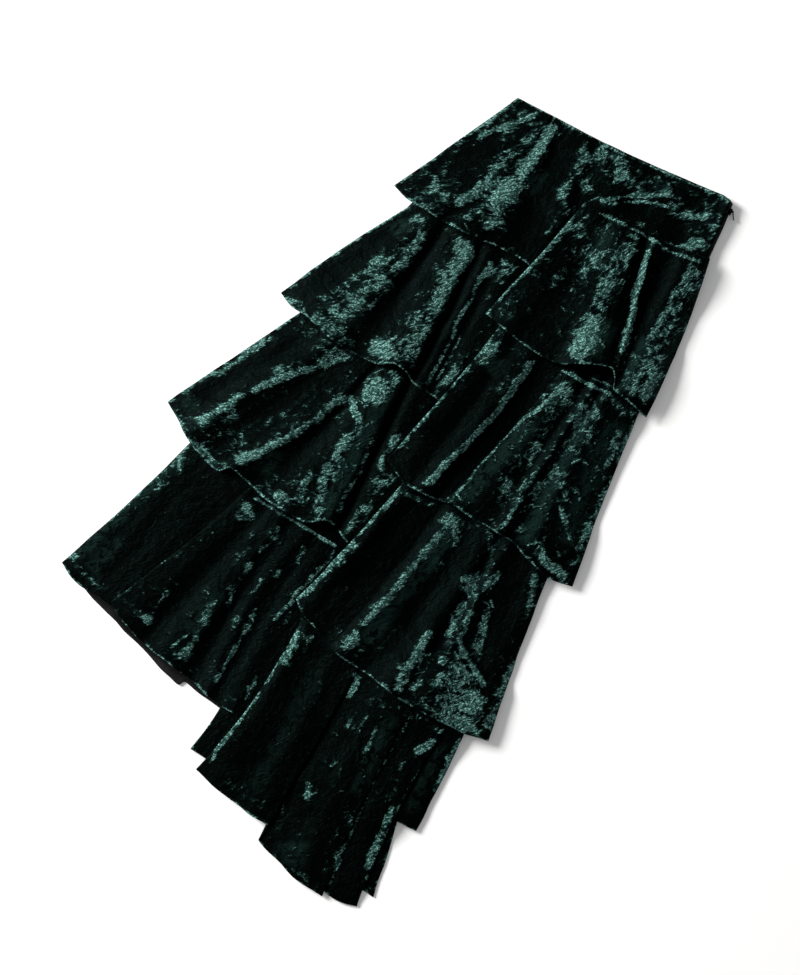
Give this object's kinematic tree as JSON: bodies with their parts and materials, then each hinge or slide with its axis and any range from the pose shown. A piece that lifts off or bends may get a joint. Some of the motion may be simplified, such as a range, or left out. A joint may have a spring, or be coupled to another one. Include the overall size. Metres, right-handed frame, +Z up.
{
  "type": "tiered ruffled maxi skirt",
  "caption": "Dark green crushed-velvet maxi skirt with overlapping ruffled tiers in two staggered cascades, laid flat, front up, with a concealed side zip.",
  "frame": {"origin": "on the floor under the middle of the garment's outline as it lies", "axes": "+Y towards the waist edge along the garment, +X along the waist towards the zip side, +Z up from the floor through the front"},
  "size_m": [0.5842, 1.0156, 0.0301],
  "materials": {
    "velvet": "crushed pile, satin sheen",
    "foundation": "matte",
    "tape": "matte",
    "enamel": "black enamel"
  },
  "bodies": {
    "skirt": {"yoke_front": "velvet", "tier_1_right": "velvet", "tier_2_left": "velvet", "tier_2_right": "velvet", "tier_3_left": "velvet", "tier_3_right": "velvet", "tier_4_left": "velvet", "tier_4_right": "velvet", "tier_4_side": "velvet", "tier_5_left": "velvet", "yoke_back": "velvet", "tier_1_back": "velvet", "tier_2_back": "velvet", "tier_3_back": "velvet", "tier_4_back": "velvet", "tier_5_back": "velvet", "base_front": "foundation", "base_back": "foundation", "zip_tape": "tape", "zip_slider": "enamel"},
    "zip_pull": {"zip_pull": "enamel"}
  },
  "joints": [
    {"name": "zip_pull_swing", "type": "hinge", "parent": "skirt", "child": "zip_pull", "pos_m": [0.25733, 0.4956, 0.0042], "axis": [0, 0, 1], "range_deg": [-22, 115]}
  ]
}
